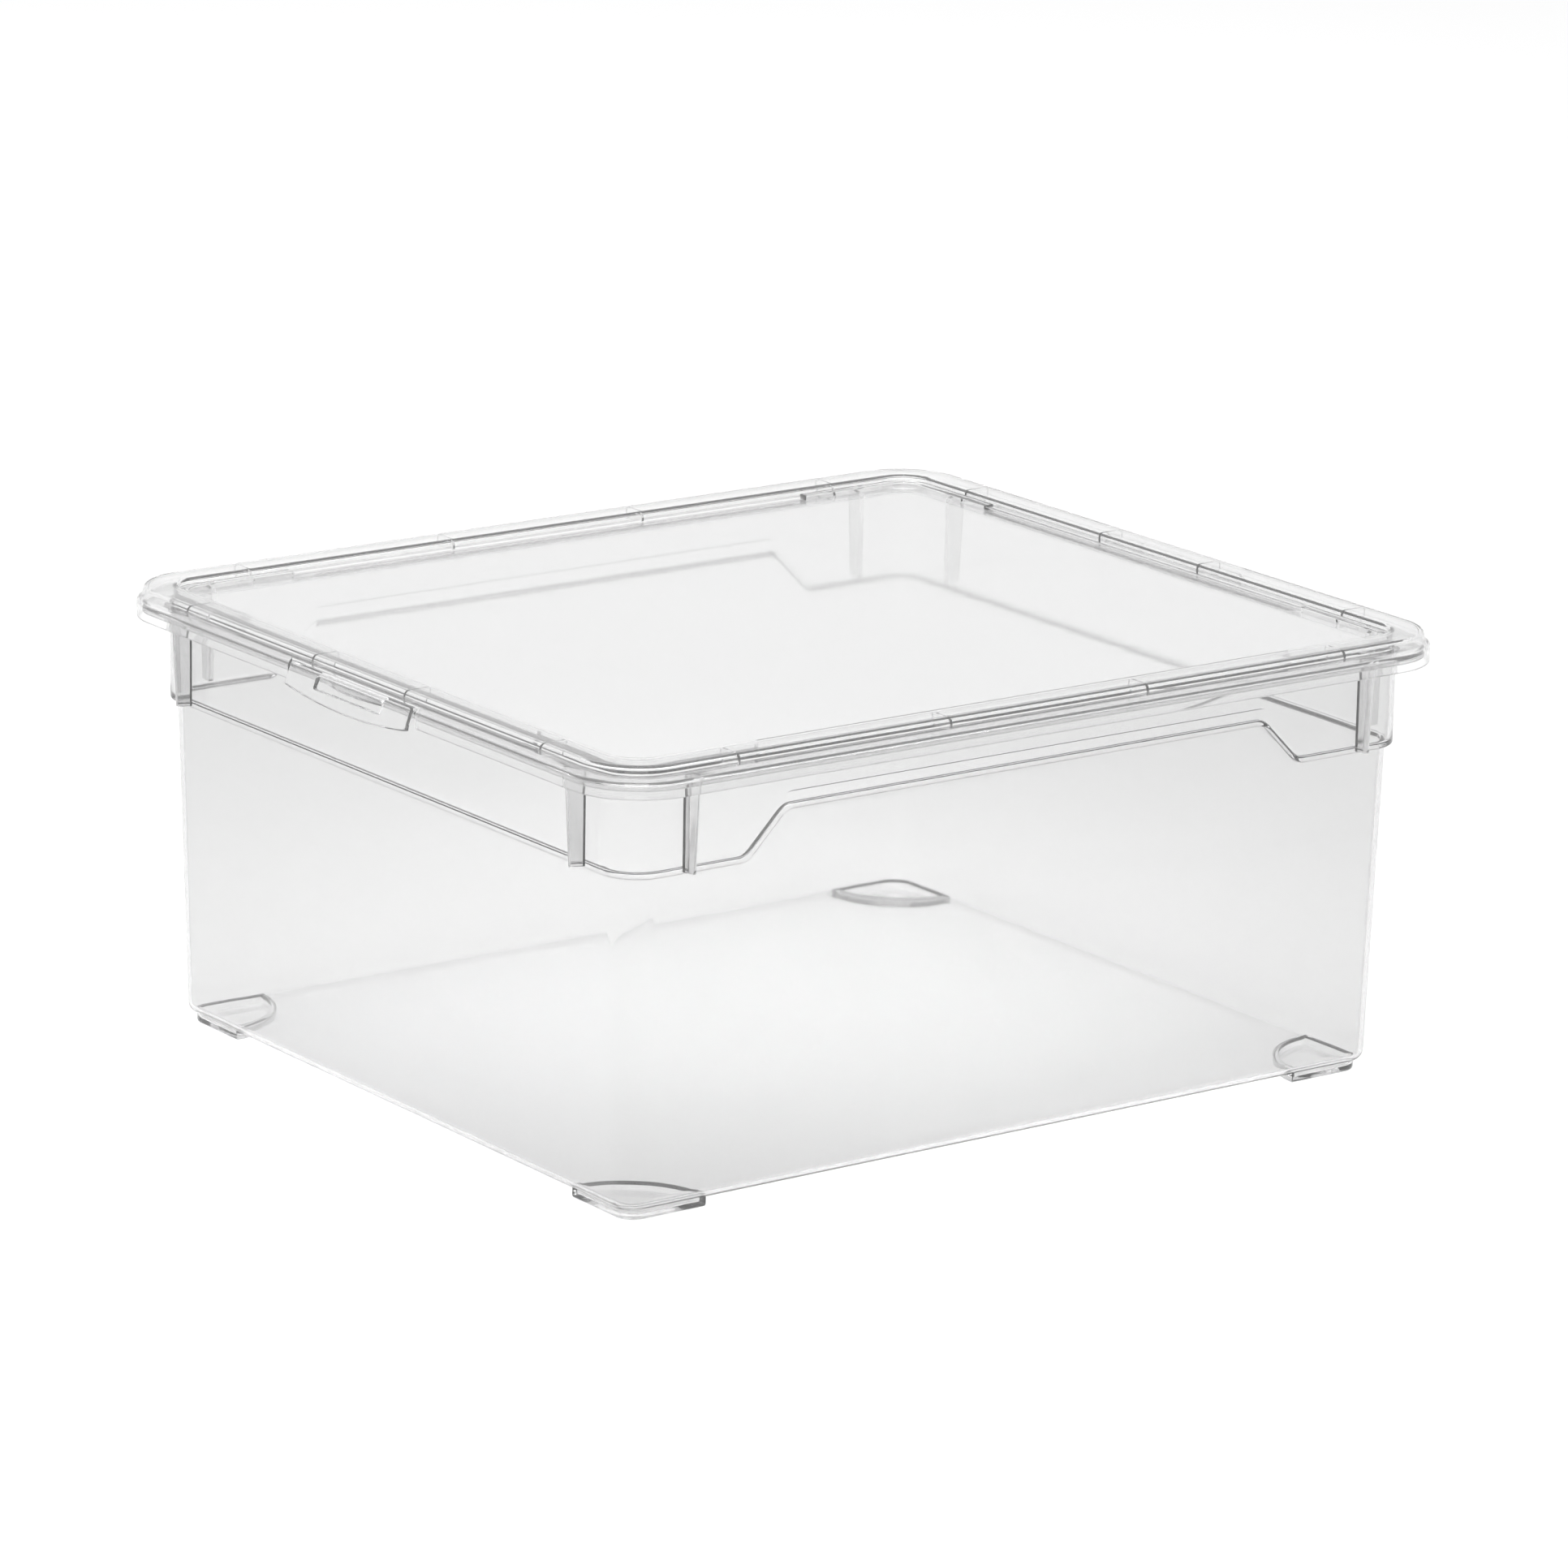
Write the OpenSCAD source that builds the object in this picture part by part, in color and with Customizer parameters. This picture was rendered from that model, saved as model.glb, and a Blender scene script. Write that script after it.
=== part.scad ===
// Clear lidded storage box for shoes: a drafted tub with a stepped upper band, and a
// snap-on lid whose two end clips bend outwards to let it go.
// Millimetres, +Z up, standing on its four feet with the origin under its middle.

/* [Tub] */
// Length of the lower wall at the shoulder, along X
tub_len = 370; // [300:1:460]
// Depth of the lower wall at the shoulder, along Y
tub_dep = 322; // [260:1:400]
// Height from the feet to the shoulder, where the upper band starts
shoulder_z = 134.7; // [100:0.1:180]
// Height of the upper band, from the shoulder to the top of the tub's rim
band_h = 39.8; // [30:0.1:60]
// Wall thickness of the tub
wall = 2; // [1.4:0.1:3]
// How far the wall leans in between the shoulder and the floor, on each side
draft = 3.7; // [2:0.1:8]
// Outer radius of the tub's upright corners, at the shoulder
corner_r = 13; // [10:1:30]
// Height and width of the rounding between the walls and the floor
floor_r = 5.3; // [3:0.1:8]
// How much smaller the radius of the upright corners is at the floor than at the shoulder
corner_taper = 1; // [0:0.5:4]
// How far the upper band stands out from the lower wall
band_step = 3.1; // [2.5:0.1:5]

/* [Long side panel] */
// Half the length of the raised panel at its top edge
panel_top = 114.4; // [80:0.1:140]
// Half the length of the raised panel at the shoulder
panel_foot = 132.1; // [85:0.1:150]
// Height of the raised panel above the shoulder
panel_h = 17.8; // [8:0.1:22]

/* [Rim and ribs] */
// How far the tub's rim stands out from the band
rim_out = 11; // [9:0.1:14]
// Thickness of the rim and of its turned-down lip
rim_t = 1.6; // [1.2:0.1:2]
// Height of the rim's turned-down lip
lip_h = 3.1; // [3:0.1:6]
// Thickness of each stacking rib
rib_t = 2.1; // [1.5:0.1:3.5]
// How far a rib stands out from the band under the rim
rib_top = 8.6; // [6:0.1:9]
// How far a rib stands out from the band at the shoulder
rib_foot = 6.4; // [4:0.1:8]
// Distance of the ribs on the long sides from the end of the band
rib_in_long = 26.9; // [24:0.1:45]
// Distance of the ribs on the short sides from the end of the band
rib_in_short = 26.9; // [24:0.1:45]
// Height of a rib's outer end above the shoulder
rib_lift = 1.2; // [0.5:0.1:3]
// Depth of the tongues below the top of the rim
tongue_drop = 1.2; // [0.8:0.1:1.8]
// Gap at each end of a tongue, inside its window
tongue_side = 2.5; // [1:0.1:5]

/* [Feet] */
// Height of the feet
foot_h = 3.5; // [2:0.1:6]
// Radius of each quarter-round foot
foot_r = 36; // [20:1:50]
// Distance of the feet from the floor's edge
foot_in = 3; // [1:0.5:12]
// Radius of a foot's outer corner
foot_corner = 8; // [3:0.5:12]

/* [Lid] */
// Thickness of the lid
lid_t = 1.6; // [1.2:0.1:2]
// Gap between the lid's skirt and the rim's lip
skirt_gap = 0.7; // [0.4:0.1:1.2]
// Gap between the top of the tub's rim and the lid's panel
lid_gap = 0.5; // [0.3:0.1:1]
// Height of the raised rim above the panel
rim_rise = 4.3; // [3.5:0.1:8]
// How far the skirt steps out below the raised rim
skirt_step = 3; // [2:0.1:4]
// Height of the stepped-out part of the skirt
skirt_h = 8; // [7:0.1:11]
// How far the wall around the lid's panel stands in from the tub's band
well_in = 1.6; // [1:0.1:4]
// Thickness of the cross ribs in the hollow of the raised rim
cross_t = 1.2; // [0.8:0.1:2]
// Distance of the two pairs of cross ribs on the long sides from the middle
cross_long = [47, 144.5]; // [20:0.5:160]
// Distance of the two pairs of cross ribs on the short sides from the middle
cross_short = [32, 123]; // [20:0.5:140]
// Height of the ledges that locate the feet of a box stacked on top
ledge_h = 2; // [1:0.1:3]
// Width of those ledges
ledge_w = 4.5; // [3:0.1:8]
// Length of each arm of those ledges, from the end of the panel
ledge_len = 58; // [35:1:80]

/* [Clips] */
// Width of each clip
clip_w = 85; // [60:1:110]
// Width of the slots on both sides of a clip
slot_w = 2; // [1.5:0.1:4]
// Height of the window in each clip
window_h = 4.9; // [4:0.1:6]
// Distance of the window's top edge below the lid's panel
window_top = 0.3; // [0.2:0.1:1]
// Width of the window in each clip
window_w = 46; // [30:1:60]
// How far a clip flares out from its hinge line to its window's lower edge
clip_flare = 4.1; // [3.4:0.1:6]
// How much further out the finger lip ends than the window's lower edge
finger_out = 0.8; // [0:0.1:2]
// Height of the finger lip below the window, at the clip's middle
finger_h = 5.4; // [4:0.1:8]
// How much lower the finger lip is at its middle than at its ends
finger_sag = 3.4; // [2:0.1:5]
// Gap along the hinge line between a clip and the lid
hinge_gap = 0.3; // [0.2:0.05:0.5]
// Gap between the rim's tongue and the bar below the window
catch_gap = 0.3; // [0.3:0.05:0.6]

/* [Hidden] */
$fn = 32;
over = 1;                                        // overshoot of a cutting shape
slab = 0.1;                                      // thickness of the slices that a hull runs through
// Rounding between the walls and the floor, as three slices: how far each is drawn in and how
// high it lies, both as shares of floor_r, and how much smaller its corner radius is
round_in = [0.7, 0.2, 0];
round_up = [0, 0.4, 1];
round_less = [2, 1, 0];
floor_z = foot_h;                                // underside of the floor
band_len = tub_len + 2 * band_step;
band_dep = tub_dep + 2 * band_step;
band_r = corner_r + band_step;
rim_z = shoulder_z + band_h;                     // top of the tub's rim
rim_len = band_len + 2 * rim_out;
rim_dep = band_dep + 2 * rim_out;
rim_r = band_r + rim_out;
// Lid levels and outlines
panel_z = rim_z + lid_gap;                       // underside of the lid's panel
lid_top = panel_z + lid_t + rim_rise;
skirt_len = rim_len + 2 * (skirt_gap + lid_t);
skirt_dep = rim_dep + 2 * (skirt_gap + lid_t);
skirt_r = rim_r + skirt_gap + lid_t;
top_len = skirt_len - 2 * skirt_step;
top_dep = skirt_dep - 2 * skirt_step;
top_r = skirt_r - skirt_step;
step_z = panel_z + lid_t;                        // top of the skirt's step
well_len = band_len - 2 * well_in;               // outside of the wall around the panel
well_dep = band_dep - 2 * well_in;
well_r = band_r - well_in;
// Clip profile, measured outwards from the middle
hinge_x = rim_len / 2 + skirt_gap;               // inner face at the hinge line
bar_x = hinge_x + clip_flare;                    // outer face at the window's lower edge
window_z = panel_z - window_top - window_h;      // the window's lower edge
clip_foot_z = window_z - finger_h;
tongue_x = bar_x - lid_t - catch_gap;
tongue_z = rim_z - tongue_drop - rim_t;
tongue_w = window_w - 2 * tongue_side;

clear = [0.84, 0.87, 0.88, 0.55];

// Rounded rectangle, centred
module plate(len, dep, r, z0, z1) {
    translate([0, 0, z0]) linear_extrude(z1 - z0) rounded(len, dep, r);
}

module rounded(len, dep, r) {
    union() {
        square([len - 2 * r, dep], center = true);
        square([len, dep - 2 * r], center = true);
        for (sx = [-1, 1], sy = [-1, 1])
            translate([sx * (len / 2 - r), sy * (dep / 2 - r)]) circle(r);
    }
}

// Ring between an outer rounded rectangle and the same one drawn in by t
module ring(len, dep, r, t, z0, z1) {
    difference() {
        plate(len, dep, r, z0, z1);
        plate(len - 2 * t, dep - 2 * t, r - t, z0 - over, z1 + over);
    }
}

// Lower wall as a solid, drawn in by t on every side; it ends at z1
module lower_body(t, z0, z1) {
    hull() {
        for (i = [0:2]) {
            inset = draft + floor_r * round_in[i] + t;
            slice_z = z0 + floor_r * round_up[i];
            plate(tub_len - 2 * inset, tub_dep - 2 * inset, corner_r - corner_taper - round_less[i],
                  slice_z, slice_z + slab);
        }
        plate(tub_len - 2 * t, tub_dep - 2 * t, corner_r - t, shoulder_z, shoulder_z + slab);
    }
    plate(tub_len - 2 * t, tub_dep - 2 * t, corner_r - t, shoulder_z, z1);
}

// Prism that keeps the middle of each long side flush with the lower wall, grown by t
module side_panel(t) {
    for (s = [-1, 1])
        translate([0, s * (tub_dep / 2 + band_step), 0]) rotate([90, 0, 0])
            translate([0, 0, -over - band_step])
                linear_extrude(2 * (band_step + over))
                    polygon([[-panel_foot - t, shoulder_z - over], [panel_foot + t, shoulder_z - over],
                             [panel_foot + t, shoulder_z], [panel_top + t, shoulder_z + panel_h + t],
                             [-panel_top - t, shoulder_z + panel_h + t], [-panel_foot - t, shoulder_z]]);
}

// Upper band as a solid, drawn in by t
module band_body(t, z0, z1) {
    difference() {
        plate(band_len - 2 * t, band_dep - 2 * t, band_r - t, z0, z1);
        side_panel(t);
    }
}

// One stacking rib with its root on the plane x = 0, standing out along +X
module rib() {
    rotate([90, 0, 0]) translate([0, 0, -rib_t / 2])
        linear_extrude(rib_t)
            polygon([[-wall / 2, shoulder_z + wall / 2], [rib_foot, shoulder_z + rib_lift],
                     [rib_top, rim_z - rim_t / 2], [-wall / 2, rim_z - rim_t / 2]]);
}

module ribs() {
    for (sx = [-1, 1], sy = [-1, 1]) {
        translate([sx * band_len / 2, sy * (band_dep / 2 - rib_in_short), 0])
            rotate([0, 0, sx > 0 ? 0 : 180]) rib();
        translate([sx * (band_len / 2 - rib_in_long), sy * band_dep / 2, 0])
            rotate([0, 0, sy * 90]) rib();
    }
}

// Quarter-round feet in the corners of the floor
module feet() {
    foot_len = tub_len - 2 * (draft + foot_in);
    foot_dep = tub_dep - 2 * (draft + foot_in);
    for (sx = [-1, 1], sy = [-1, 1])
        intersection() {
            plate(foot_len, foot_dep, foot_corner, 0, floor_z + wall / 2);
            translate([sx * foot_len / 2, sy * foot_dep / 2, 0])
                cylinder(h = floor_z + wall / 2, r = foot_r);
        }
}

// Tongue on the rim that shows through a clip's window
module tongue(s) {
    bow = tongue_x - rim_len / 2;
    tongue_r = (pow(tongue_w / 2, 2) + bow * bow) / (2 * bow);
    intersection() {
        translate([s * (tongue_x - tongue_r), 0, tongue_z])
            cylinder(h = rim_t, r = tongue_r, $fn = 96);
        translate([s * (rim_len / 2 + bow / 2 - rim_t / 4), 0, tongue_z + rim_t / 2])
            cube([bow + rim_t / 2, tongue_w, rim_t], center = true);
    }
}

module tub() {
    color(clear) {
        difference() {
            union() {
                lower_body(0, floor_z, rim_z);
                band_body(0, shoulder_z, rim_z);
            }
            lower_body(wall, floor_z + wall, rim_z + over);
            band_body(wall, shoulder_z + wall, rim_z + over);
        }
        ring(rim_len, rim_dep, rim_r, rim_out + wall, rim_z - rim_t, rim_z);
        ring(rim_len, rim_dep, rim_r, rim_t, rim_z - lip_h, rim_z);
        ribs();
        feet();
        for (s = [-1, 1]) tongue(s);
    }
}

// Ledges in the corners of the lid that locate the feet of a box on top
module ledges() {
    inner_len = well_len - 2 * lid_t;
    inner_dep = well_dep - 2 * lid_t;
    difference() {
        ring(inner_len + lid_t, inner_dep + lid_t, well_r - lid_t / 2, ledge_w + lid_t / 2,
             panel_z + lid_t / 2, panel_z + lid_t + ledge_h);
        cube([inner_len - 2 * ledge_len, well_dep, 4 * rim_z], center = true);
        cube([well_len, inner_dep - 2 * ledge_len, 4 * rim_z], center = true);
    }
}

// Cross ribs that stiffen the hollow of the raised rim
module cross_ribs() {
    for (s = [-1, 1], t = [-1, 1]) {
        for (x = cross_long) {
            channel = (top_dep - well_dep) / 2 - lid_t / 2;
            translate([s * x, t * (well_dep / 2 - lid_t / 2 + channel / 2), (panel_z + lid_top) / 2])
                cube([cross_t, channel, lid_top - panel_z - lid_t], center = true);
        }
        for (y = cross_short) {
            channel = (top_len - well_len) / 2 - lid_t / 2;
            translate([t * (well_len / 2 - lid_t / 2 + channel / 2), s * y, (panel_z + lid_top) / 2])
                cube([channel, cross_t, lid_top - panel_z - lid_t], center = true);
        }
    }
}

module lid() {
    color(clear) {
        cross_ribs();
        plate(well_len, well_dep, well_r, panel_z, panel_z + lid_t);
        ring(well_len, well_dep, well_r, lid_t, panel_z, lid_top);
        ring(top_len, top_dep, top_r, (top_len - well_len) / 2 + lid_t, lid_top - lid_t, lid_top);
        ring(top_len, top_dep, top_r, lid_t, step_z - lid_t, lid_top);
        ledges();
        difference() {
            union() {
                ring(skirt_len, skirt_dep, skirt_r, skirt_step + lid_t, step_z - lid_t, step_z);
                ring(skirt_len, skirt_dep, skirt_r, lid_t, step_z - skirt_h, step_z);
            }
            for (s = [-1, 1])
                translate([s * (hinge_x - hinge_gap + skirt_len / 2), 0, step_z])
                    cube([skirt_len, clip_w + 2 * slot_w, 4 * skirt_h], center = true);
        }
    }
}

// One clip on the +X end: a flared plate with a window and a bowed finger lip
module clip() {
    lip_r = (pow(clip_w / 2, 2) + finger_sag * finger_sag) / (2 * finger_sag);
    color(clear) difference() {
        intersection() {
            rotate([90, 0, 0]) translate([0, 0, -clip_w / 2])
                linear_extrude(clip_w)
                    polygon([[hinge_x, step_z], [hinge_x + lid_t, step_z],
                             [bar_x, window_z], [bar_x + finger_out, clip_foot_z],
                             [bar_x + finger_out - lid_t, clip_foot_z], [bar_x - lid_t, window_z],
                             [hinge_x, step_z - lid_t]]);
            translate([0, 0, clip_foot_z + lip_r]) rotate([0, 90, 0])
                cylinder(h = skirt_len, r = lip_r, $fn = 128);
        }
        translate([bar_x, 0, window_z + window_h / 2])
            cube([4 * clip_flare, window_w, window_h], center = true);
    }
}

module clip_right() clip();
module clip_left() mirror([1, 0, 0]) clip();

tub();
lid();
clip_left();
clip_right();
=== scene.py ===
"""Looks of a clear lidded shoe box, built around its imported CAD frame.

The box is two injection mouldings in clear polypropylene. Each is a closed shell with a real wall, made by one
formula: a wall section, given as points of (offset, height), is carried around a rounded rectangle, and each point
lies at

    place(u, v) = scale(v) * (outline(u) + offset(u, v) * normal(u)),   z = height(u, v)

so that every outline of the box is a parallel curve of the tub's own. Ribs, feet and tongues are small closed solids
joined to the shells. Lengths are written in millimetres and turned into metres once, when a mesh is made.
"""

import logging
import math
from dataclasses import dataclass, field
from enum import Enum

import bpy
import numpy as np
from mathutils import Matrix, Vector


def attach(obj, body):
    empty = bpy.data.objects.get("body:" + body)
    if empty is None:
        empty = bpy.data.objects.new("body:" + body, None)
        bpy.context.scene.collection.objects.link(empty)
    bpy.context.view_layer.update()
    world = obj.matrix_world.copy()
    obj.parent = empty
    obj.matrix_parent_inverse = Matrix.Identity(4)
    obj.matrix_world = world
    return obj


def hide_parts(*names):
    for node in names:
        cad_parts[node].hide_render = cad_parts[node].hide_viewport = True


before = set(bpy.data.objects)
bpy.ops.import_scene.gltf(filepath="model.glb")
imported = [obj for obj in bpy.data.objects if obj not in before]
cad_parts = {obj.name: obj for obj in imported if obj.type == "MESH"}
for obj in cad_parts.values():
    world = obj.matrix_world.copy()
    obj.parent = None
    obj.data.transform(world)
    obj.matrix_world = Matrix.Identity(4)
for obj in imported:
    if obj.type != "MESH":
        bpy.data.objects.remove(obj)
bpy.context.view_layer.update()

LOG = logging.getLogger("shoe_box")
MM = 0.001
CREASE_DEGREES = 35.0
Section = list[tuple[float, float]]


class Side(Enum):
    """The two short ends of the box, each with a clip."""

    LEFT = -1
    RIGHT = 1


# ---------------------------------------------------------------- outlines and sections


@dataclass(frozen=True)
class Outline:
    """Rounded rectangle that every wall of the box runs parallel to.

    Attributes:
        half_x: Half length along X, in mm.
        half_y: Half depth along Y, in mm.
        radius: Corner radius, in mm.
        arc: Number of steps in each corner.
    """

    half_x: float
    half_y: float
    radius: float
    arc: int = 14

    def stations(self, half: float, marks: tuple[float, ...] = ()) -> np.ndarray:
        """Places along one straight side: an even spread, with more of them around each mark.

        Args:
            half: Half the length of the side.
            marks: Distances from the middle that need fine spacing.

        Returns:
            Increasing coordinates along the side, from -half to +half.
        """
        end = half - self.radius
        even_count, near_count, near_mm = 13, 9, 4
        even = np.linspace(-end, end, even_count)
        near = [s * m + np.linspace(-near_mm, near_mm, near_count) for m in marks for s in (-1, 1)]
        every = np.unique(np.round(np.concatenate([even, *near]), 3))
        return every[np.abs(every) <= end]

    def loop(self, marks_x: tuple[float, ...] = (), marks_y: tuple[float, ...] = ()) -> tuple[np.ndarray, np.ndarray]:
        """Points and outward normals around the outline, anticlockwise seen from above.

        A corner point is centre + radius * (cos a, sin a) and its normal is (cos a, sin a); on a side the normal is
        square to it.

        Args:
            marks_x: Places along the long sides that need fine spacing.
            marks_y: Places along the short sides that need fine spacing.

        Returns:
            Two arrays of shape (n, 2).
        """
        along_x = self.stations(self.half_x, marks_x)
        along_y = self.stations(self.half_y, marks_y)
        sides = [
            (np.column_stack([np.full(along_y.size, self.half_x), along_y]), 0.0),
            (np.column_stack([-along_x, np.full(along_x.size, self.half_y)]), 0.5 * math.pi),
            (np.column_stack([np.full(along_y.size, -self.half_x), -along_y]), math.pi),
            (np.column_stack([along_x, np.full(along_x.size, -self.half_y)]), 1.5 * math.pi),
        ]
        places, normals = [], []
        for points, start in sides:
            places.append(points)
            normals.append(np.tile([math.cos(start), math.sin(start)], (len(points), 1)))
            angle = start + np.linspace(0, 0.5 * math.pi, self.arc + 1)[1:-1]
            ray = np.column_stack([np.cos(angle), np.sin(angle)])
            signs = np.sign(np.cos(start + 0.25 * math.pi)), np.sign(np.sin(start + 0.25 * math.pi))
            centre = np.array([signs[0] * (self.half_x - self.radius), signs[1] * (self.half_y - self.radius)])
            places.append(centre + self.radius * ray)
            normals.append(ray)
        return np.vstack(places), np.vstack(normals)


def rounded(points: Section, radii: list[float], steps: int = 4) -> Section:
    """Rounds the corners of an open section.

    Each corner becomes the quadratic curve (1-t)^2 a + 2t(1-t) c + t^2 b, where a and b lie on the two edges at the
    corner's radius from the corner c.

    Args:
        points: The section's corners, in order.
        radii: One radius for each point; 0 keeps the corner sharp.
        steps: Steps in each rounded corner.

    Returns:
        The rounded section.
    """
    out: Section = []
    for i, (point, radius) in enumerate(zip(points, radii)):
        if radius == 0 or i in (0, len(points) - 1):
            out.append(point)
            continue
        corner = np.array(point)
        before = np.array(points[i - 1]) - corner
        after = np.array(points[i + 1]) - corner
        reach = min(radius, 0.48 * np.linalg.norm(before), 0.48 * np.linalg.norm(after))
        a = corner + before / np.linalg.norm(before) * reach
        b = corner + after / np.linalg.norm(after) * reach
        for t in np.linspace(0, 1, steps + 1):
            out.append(tuple((1 - t) ** 2 * a + 2 * t * (1 - t) * corner + t * t * b))
    return out


# ---------------------------------------------------------------- meshes


def mesh_object(name: str, verts: np.ndarray, faces: list[tuple[int, ...]]) -> bpy.types.Object:
    """Makes an object from points in millimetres.

    Args:
        name: The object's name.
        verts: Array of shape (n, 3), in mm.
        faces: Vertex indices of each face, anticlockwise seen from outside.

    Returns:
        The new object, linked to the scene, with its place in its mesh.
    """
    mesh = bpy.data.meshes.new(name)
    mesh.from_pydata((verts * MM).tolist(), [], faces)
    mesh.validate()
    mesh.update()
    thing = bpy.data.objects.new(name, mesh)
    bpy.context.scene.collection.objects.link(thing)
    return thing


def closed_sweep(name: str, outline: tuple[np.ndarray, np.ndarray], offset: np.ndarray, height: np.ndarray,
                 scale: np.ndarray) -> bpy.types.Object:
    """Carries a section around an outline and closes it at a point at each end.

    The section runs from the middle of the underside, out, up, over the rim and back to the middle of the inside.

    Args:
        name: The object's name.
        outline: Points and normals around the outline, n of each.
        offset: Offsets along the normals, shape (n, m).
        height: Heights, shape (n, m).
        scale: Share of the distance from the middle, shape (m,).

    Returns:
        The closed shell.
    """
    base, normal = outline
    n, m = offset.shape
    flat = (base[:, None, :] + normal[:, None, :] * offset[:, :, None]) * scale[None, :, None]
    grid = np.concatenate([flat, height[:, :, None]], axis=2).transpose(1, 0, 2).reshape(-1, 3)
    poles = np.array([[0, 0, height[:, 0].mean()], [0, 0, height[:, -1].mean()]])
    row = np.arange(n)
    nxt = (row + 1) % n
    start = (np.arange(m - 1) * n)[:, None]
    quads = np.stack([start + row, start + nxt, start + n + nxt, start + n + row], axis=2).reshape(-1, 4)
    last = (m - 1) * n
    first_pole, last_pole = n * m, n * m + 1
    fans = [(first_pole, int(b), int(a)) for a, b in zip(row, nxt)]
    fans += [(last_pole, last + int(a), last + int(b)) for a, b in zip(row, nxt)]
    return mesh_object(name, np.vstack([grid, poles]), [tuple(q) for q in quads.tolist()] + fans)


def prism(name: str, outlines: list[np.ndarray]) -> bpy.types.Object:
    """Closed solid through a stack of outlines that all have the same number of points.

    Args:
        name: The object's name.
        outlines: Arrays of shape (n, 3), each anticlockwise seen from the last one towards the first.

    Returns:
        The closed solid.
    """
    n = len(outlines[0])
    row = np.arange(n)
    nxt = (row + 1) % n
    faces: list[tuple[int, ...]] = [tuple(reversed(range(n))), tuple(range((len(outlines) - 1) * n, len(outlines) * n))]
    for k in range(len(outlines) - 1):
        at = k * n
        faces += [(int(at + a), int(at + b), int(at + n + b), int(at + n + a)) for a, b in zip(row, nxt)]
    return mesh_object(name, np.vstack(outlines), faces)


def combine(target: bpy.types.Object, tool: bpy.types.Object, operation: str) -> None:
    """Joins a tool to a solid, or cuts it out of the solid, and removes the tool.

    Args:
        target: The solid that is changed.
        tool: The solid that is added or cut away.
        operation: UNION or DIFFERENCE.
    """
    step = target.modifiers.new("combine", "BOOLEAN")
    step.operation = operation
    step.solver = "MANIFOLD"
    step.object = tool
    bpy.context.view_layer.update()
    result = bpy.data.meshes.new_from_object(target.evaluated_get(bpy.context.evaluated_depsgraph_get()))
    target.modifiers.remove(step)
    old = target.data
    target.data = result
    result.name = target.name
    bpy.data.meshes.remove(old)
    bpy.data.objects.remove(tool)


def soften(thing: bpy.types.Object, sharp_degrees: float = CREASE_DEGREES) -> None:
    """Gives smooth shading, with the edges that fold sharply kept crisp.

    Args:
        thing: The object to shade.
        sharp_degrees: Edges that fold by more than this stay crisp.
    """
    thing.data.shade_smooth()
    thing.data.set_sharp_from_angle(angle=math.radians(sharp_degrees))


def bevelled(thing: bpy.types.Object, width: float, segments: int = 3) -> bpy.types.Object:
    """Rounds every sharp edge of a small solid.

    Args:
        thing: The solid, which is changed.
        width: Width of the rounding, in mm.
        segments: Steps across each rounded edge.

    Returns:
        The same solid.
    """
    step = thing.modifiers.new("round", "BEVEL")
    step.width = width * MM
    step.segments = segments
    step.limit_method = "ANGLE"
    step.angle_limit = math.radians(CREASE_DEGREES)
    bpy.context.view_layer.update()
    result = bpy.data.meshes.new_from_object(thing.evaluated_get(bpy.context.evaluated_depsgraph_get()))
    thing.modifiers.remove(step)
    thing.data = result
    return thing


# ---------------------------------------------------------------- finishes


def linear(hex_colour: str, alpha: float = 1.0) -> tuple[float, float, float, float]:
    """Turns an sRGB hex colour such as #e9edee into linear light.

    Args:
        hex_colour: The colour, as # and six hex digits.
        alpha: The alpha to give it.

    Returns:
        Red, green, blue and alpha, each from 0 to 1.
    """
    parts = [int(hex_colour[i:i + 2], 16) / 255 for i in (1, 3, 5)]
    r, g, b = (c / 12.92 if c <= 0.04045 else ((c + 0.055) / 1.055) ** 2.4 for c in parts)
    return r, g, b, alpha


def add_node(tree: bpy.types.NodeTree, kind: str, settings: dict | None = None,
             inputs: dict | None = None) -> bpy.types.Node:
    """Adds a node to a material.

    Args:
        tree: The material's node tree.
        kind: The node's type.
        settings: Attributes to set on it.
        inputs: Socket name to a value, or to the output socket that feeds it.

    Returns:
        The new node.
    """
    node = tree.nodes.new(kind)
    for key, value in (settings or {}).items():
        setattr(node, key, value)
    for key, value in (inputs or {}).items():
        if isinstance(value, bpy.types.NodeSocket):
            tree.links.new(value, node.inputs[key])
        else:
            node.inputs[key].default_value = value
    return node


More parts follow.
